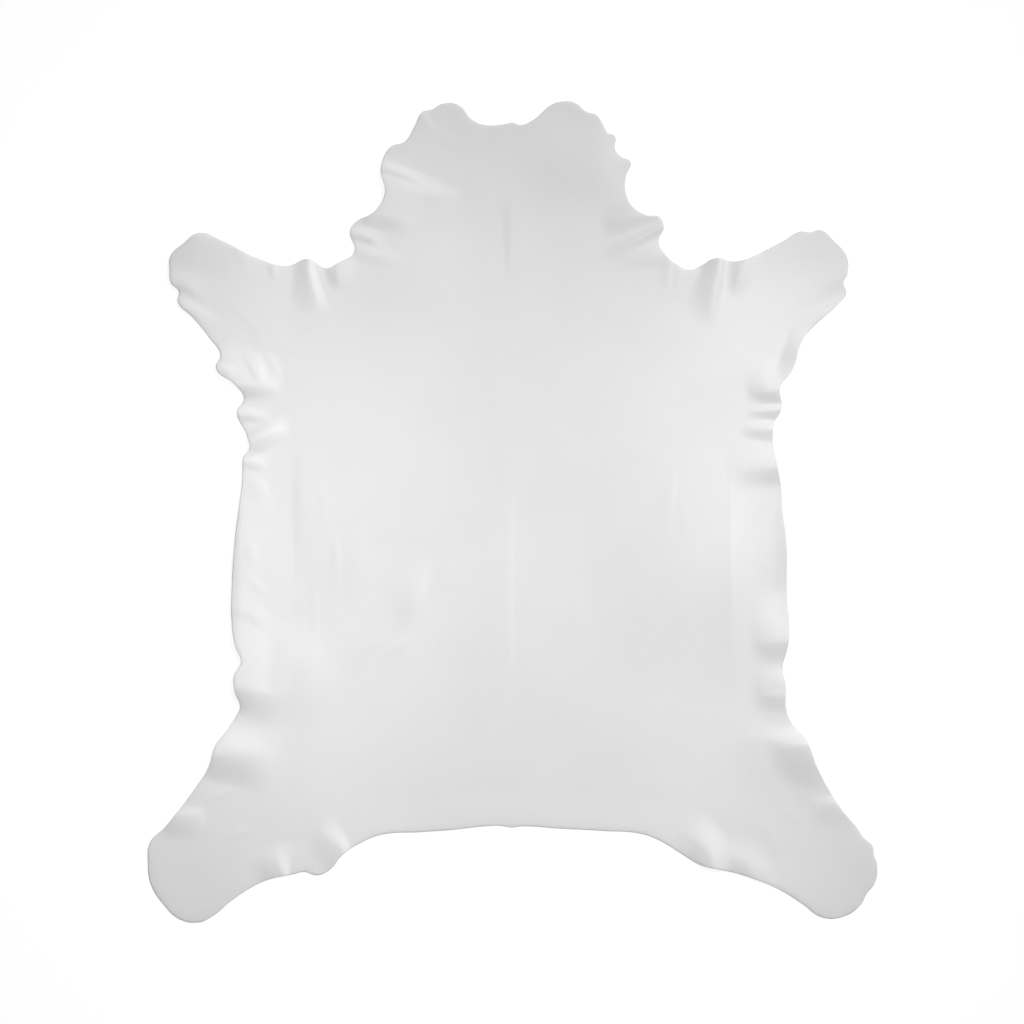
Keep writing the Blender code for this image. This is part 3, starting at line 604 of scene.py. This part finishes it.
# %% [markdown]
# ## The thickness
# Finished upholstery leather is about a millimetre and a half thick. The sheet could be copied and
# its two edges sewn together, but Solidify does both, keeps the thickness even over the folds, and
# gives the flesh side and the cut edge material slots of their own.

# %% Giving the sheet its thickness
THICKNESS = 0.0015
thickness = hide.modifiers.new("thickness", "SOLIDIFY")
thickness.thickness = THICKNESS
thickness.offset = 1
thickness.use_even_offset = True
print("thickness", THICKNESS * 1000, "mm")

# %% [markdown]
# ## Finishes
# Three finishes share the one sheet. Scanned textures could be used, but noise built in the piece's
# own space needs no unwrapping, and its pebble has the same size all over. The helper below makes a
# material and adds nodes to it by name, so each finish reads as a short list.

# %% A helper for node materials
def nodes_of(name):
    """A new material with its node tree, its shader, and a function that adds a linked node."""
    material = bpy.data.materials.new(name)
    material.use_nodes = True
    tree = material.node_tree
    shader = tree.nodes["Principled BSDF"]

    def add(kind, inputs=None, **settings):
        node = tree.nodes.new(kind)
        for key, value in settings.items():
            setattr(node, key, value)
        for key, value in (inputs or {}).items():
            if isinstance(value, bpy.types.NodeSocket):
                tree.links.new(value, node.inputs[key])
            else:
                node.inputs[key].default_value = value
        return node

    print("material", name)
    return material, tree, shader, add


def blended(add, share, low, high):
    """A colour between two, by a share."""
    mix = add("ShaderNodeMix", {0: share, 6: (*low, 1), 7: (*high, 1)}, data_type="RGBA")
    return mix.outputs[2]


def remap(add, value, from_low, from_high, to_low, to_high):
    """One range of values stretched onto another."""
    made = add(
        "ShaderNodeMapRange",
        {"Value": value, "From Min": from_low, "From Max": from_high, "To Min": to_low, "To Max": to_high},
    )
    return made.outputs["Result"]

# %% [markdown]
# The grain side is corrected and finished in white: a soft sheen over a fine pebble, with the hair
# pores still faint in it. The pebble is the network of a Voronoi pattern, bent a little by noise so
# that it has no straight lines. Finer pits lie over it, and slow lumps lie under it, as in leather
# that has been handled. The white itself drifts very slightly from place to place.

# %% The white grain side
WHITE_LOW = (0.745, 0.745, 0.742)
WHITE_HIGH = (0.775, 0.775, 0.772)


def grain_side():
    """Smooth white finished leather with a fine pebble."""
    material, tree, shader, add = nodes_of("white_grain_leather")
    place = add("ShaderNodeTexCoord").outputs["Object"]
    drift = add("ShaderNodeTexNoise", {"Vector": place, "Scale": 140.0, "Detail": 2.0})
    bent = add(
        "ShaderNodeMix", {0: 0.0016, 4: place, 5: drift.outputs["Color"]}, data_type="VECTOR"
    ).outputs[1]
    pebble = add(
        "ShaderNodeTexVoronoi",
        {"Vector": bent, "Scale": 420.0, "Randomness": 0.9},
        feature="DISTANCE_TO_EDGE",
    ).outputs["Distance"]
    creases = remap(add, pebble, 0.0, 0.16, 0.0, 1.0)
    pores = add("ShaderNodeTexVoronoi", {"Vector": place, "Scale": 900.0}).outputs["Distance"]
    pits = remap(add, pores, 0.0, 0.22, 0.0, 1.0)
    soft = add("ShaderNodeTexNoise", {"Vector": place, "Scale": 9.0, "Detail": 3.0, "Roughness": 0.5})
    mottle = add("ShaderNodeTexNoise", {"Vector": place, "Scale": 2.2, "Detail": 5.0, "Roughness": 0.55})

    lumps = add("ShaderNodeBump", {"Strength": 1.0, "Distance": 0.0009, "Height": soft.outputs["Fac"]})
    grain = add(
        "ShaderNodeBump",
        {"Strength": 0.55, "Distance": 0.00016, "Height": creases, "Normal": lumps.outputs["Normal"]},
    )
    fine = add(
        "ShaderNodeBump",
        {"Strength": 0.4, "Distance": 0.00006, "Height": pits, "Normal": grain.outputs["Normal"]},
    )
    colour = blended(add, remap(add, mottle.outputs["Fac"], 0.3, 0.7, 0.0, 1.0), WHITE_LOW, WHITE_HIGH)
    tree.links.new(colour, shader.inputs["Base Color"])
    tree.links.new(remap(add, creases, 0.0, 1.0, 0.62, 0.48), shader.inputs["Roughness"])
    tree.links.new(fine.outputs["Normal"], shader.inputs["Normal"])
    shader.inputs["Specular IOR Level"].default_value = 0.35
    return material


white_grain = grain_side()

# %% [markdown]
# The flesh side is suede: matt, with a short nap that was brushed unevenly. Fur strands would be far
# too many for a nap so short, so a fine bump with a little sheen at glancing angles stands for it.

# %% The suede flesh side
SUEDE_LOW = (0.62, 0.61, 0.59)
SUEDE_HIGH = (0.72, 0.71, 0.69)


def flesh_side():
    """White suede: matt, with a short nap brushed unevenly."""
    material, tree, shader, add = nodes_of("white_suede")
    place = add("ShaderNodeTexCoord").outputs["Object"]
    nap = add("ShaderNodeTexNoise", {"Vector": place, "Scale": 700.0, "Detail": 4.0, "Roughness": 0.7})
    brushed = add("ShaderNodeTexNoise", {"Vector": place, "Scale": 6.0, "Detail": 6.0, "Roughness": 0.6})
    bump = add("ShaderNodeBump", {"Strength": 0.8, "Distance": 0.0004, "Height": nap.outputs["Fac"]})
    colour = blended(add, remap(add, brushed.outputs["Fac"], 0.3, 0.7, 0.0, 1.0), SUEDE_LOW, SUEDE_HIGH)
    tree.links.new(colour, shader.inputs["Base Color"])
    tree.links.new(bump.outputs["Normal"], shader.inputs["Normal"])
    shader.inputs["Roughness"].default_value = 0.95
    shader.inputs["Specular IOR Level"].default_value = 0.15
    shader.inputs["Sheen Weight"].default_value = 0.25
    shader.inputs["Sheen Roughness"].default_value = 0.5
    return material


white_suede = flesh_side()

# %% [markdown]
# The cut edge shows the fibres between the two sides, because the white finish lies only on the
# grain. It is as narrow as the sheet is thick, so a fine noise is all the detail that it needs.

# %% The fibres of the cut edge
def cut_side():
    """The fibres that show where the sheet was cut."""
    material, tree, shader, add = nodes_of("white_cut_edge")
    place = add("ShaderNodeTexCoord").outputs["Object"]
    fibres = add("ShaderNodeTexNoise", {"Vector": place, "Scale": 1500.0, "Detail": 3.0, "Roughness": 0.8})
    bump = add("ShaderNodeBump", {"Strength": 1.0, "Distance": 0.0002, "Height": fibres.outputs["Fac"]})
    colour = blended(add, fibres.outputs["Fac"], SUEDE_LOW, WHITE_HIGH)
    tree.links.new(colour, shader.inputs["Base Color"])
    tree.links.new(bump.outputs["Normal"], shader.inputs["Normal"])
    shader.inputs["Roughness"].default_value = 0.85
    return material


cut_fibres = cut_side()

# %% [markdown]
# Solidify counts material slots on from the face's own, so one offset sends the outer shell to one
# finish and another sends the rim to the next. The count below tells whether each finish landed on
# its side: the grain's faces point up, the suede's point down, and the edge's lie between.

# %% Three finishes on one sheet
for finish in (white_grain, white_suede, cut_fibres):
    hide.data.materials.append(finish)
thickness.material_offset = 1
thickness.material_offset_rim = 2
made = hide.evaluated_get(bpy.context.evaluated_depsgraph_get()).to_mesh()
up = np.zeros(len(made.polygons) * 3)
made.polygons.foreach_get("normal", up)
which = np.zeros(len(made.polygons), dtype=int)
made.polygons.foreach_get("material_index", which)
for number, finish in enumerate(hide.data.materials):
    own = which == number
    print(finish.name, "faces:", int(own.sum()), "mean up:", round(float(up[2::3][own].mean()), 2))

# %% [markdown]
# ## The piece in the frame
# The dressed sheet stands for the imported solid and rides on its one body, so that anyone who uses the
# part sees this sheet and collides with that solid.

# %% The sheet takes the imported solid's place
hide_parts("hide")
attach(hide, "root")
print("flat size", HIDE_WIDTH, "x", HIDE_LENGTH, "m")

# %% [markdown]
# ## The floor
# The hide lies on plain white ground that stays bright right up to its edge. A white floor under
# ordinary light would turn grey in the corners and dark beside the hide. So this floor glows a
# little by itself, and it reaches far beyond the picture.

# %% A floor that glows
FLOOR_GLOW = 0.78
FLOOR_GREY = 0.3
FLOOR_HALF = 300.0  # metres from its middle to its side
FLOOR_DROP = 0.0008  # just under the surface that the hide lies on


def floor():
    """A wide white floor, staged under the hide."""
    material, tree, shader, add = nodes_of("white_floor")
    shader.inputs["Base Color"].default_value = (FLOOR_GREY, FLOOR_GREY, FLOOR_GREY, 1)
    shader.inputs["Roughness"].default_value = 0.9
    shader.inputs["Emission Color"].default_value = (1, 1, 1, 1)
    shader.inputs["Emission Strength"].default_value = FLOOR_GLOW
    mesh = bpy.data.meshes.new("floor")
    low, high = -FLOOR_HALF, FLOOR_HALF
    mesh.from_pydata([(low, low, 0), (high, low, 0), (high, high, 0), (low, high, 0)], [], [(0, 1, 2, 3)])
    mesh.materials.append(material)
    plane = bpy.data.objects.new("floor", mesh)
    plane.location.z = -FLOOR_DROP
    bpy.context.scene.collection.objects.link(plane)


floor()
print("floor:", 2 * FLOOR_HALF, "m wide")

# %% [markdown]
# ## Light
# White leather shows its folds only where light falls across it. One large lamp overhead would
# flatten them all. So three long softboxes hang along the back and the bellies, which are palest
# there and fall off towards the neck and the shanks, and a small one lights the right shoulder.

# %% Softboxes along the back and the bellies
def area_light(name, place, aim, size, power):
    """A rectangle of light that faces its aim and stays out of the picture."""
    data = bpy.data.lights.new(name, "AREA")
    data.shape = "RECTANGLE"
    data.size, data.size_y = size
    data.energy = power
    lamp = bpy.data.objects.new(name, data)
    lamp.location = place
    lamp.rotation_euler = (Vector(aim) - Vector(place)).to_track_quat("-Z", "Y").to_euler()
    lamp.visible_camera = False
    bpy.context.scene.collection.objects.link(lamp)
    return lamp


# A place over the hide, the size of the box, both in metres, and its power in watts.
Softbox = namedtuple("Softbox", "name x y height size power")
SOFTBOXES = (
    Softbox("middle softbox", 0.4, 0.48, 2.54, (0.2, 1.5), 13.6),
    Softbox("right softbox", 0.77, -0.5, 1.0, (0.2, 2.0), 3.65),
    Softbox("left softbox", -0.71, -0.16, 1.06, (0.2, 2.28), 6.3),
    Softbox("shoulder softbox", 0.84, 0.61, 0.5, (0.34, 0.2), 0.44),
)
for box in SOFTBOXES:
    area_light(box.name, (box.x, box.y, box.height), (box.x, box.y, 0.0), box.size, box.power)
print(len(SOFTBOXES), "softboxes,", round(sum(box.power for box in SOFTBOXES), 2), "W in all")

# %% [markdown]
# A soft key light from the upper right then models the folds: sides that face it turn white, and
# sides that face away turn grey. A faint even sky keeps the grey sides from going black.

# %% Key light and sky
KEY_POWER = 2.1
KEY_FROM = (0.55, 0.62, 0.75)  # the direction that the key light comes from
KEY_SPREAD = 14.0  # degrees across, which softens the folds' shadows
SKY = 0.12
sun = bpy.data.lights.new("key", "SUN")
sun.energy = KEY_POWER
sun.angle = math.radians(KEY_SPREAD)
key = bpy.data.objects.new("key", sun)
key.rotation_euler = Vector(KEY_FROM).to_track_quat("Z", "Y").to_euler()
bpy.context.scene.collection.objects.link(key)
world = bpy.data.worlds.new("studio")
world.use_nodes = True
world.node_tree.nodes["Background"].inputs["Color"].default_value = (1, 1, 1, 1)
world.node_tree.nodes["Background"].inputs["Strength"].default_value = SKY
bpy.context.scene.world = world
bpy.context.scene.view_settings.view_transform = "Standard"
print("key", KEY_POWER, "sky", SKY)

# %% [markdown]
# ## The camera
# The hide is looked at from straight above. A long lens from far away keeps its outline true, as a
# short one would make the raised folds lean outwards.

# %% A camera straight above
HALF_VIEW = 1.6838  # metres from the middle of the picture to its side
VIEW_SHIFT = -0.0016  # the picture's middle lies this far from the hide's
LENS = 100.0
camera_data = bpy.data.cameras.new("camera")
camera_data.lens = LENS
camera_data.clip_end = 1000.0
camera = bpy.data.objects.new("camera", camera_data)
camera.location = (VIEW_SHIFT, 0.0, HALF_VIEW * LENS / (camera_data.sensor_width / 2))
bpy.context.scene.collection.objects.link(camera)
bpy.context.scene.camera = camera
print("camera at a height of", round(camera.location.z, 2), "m")
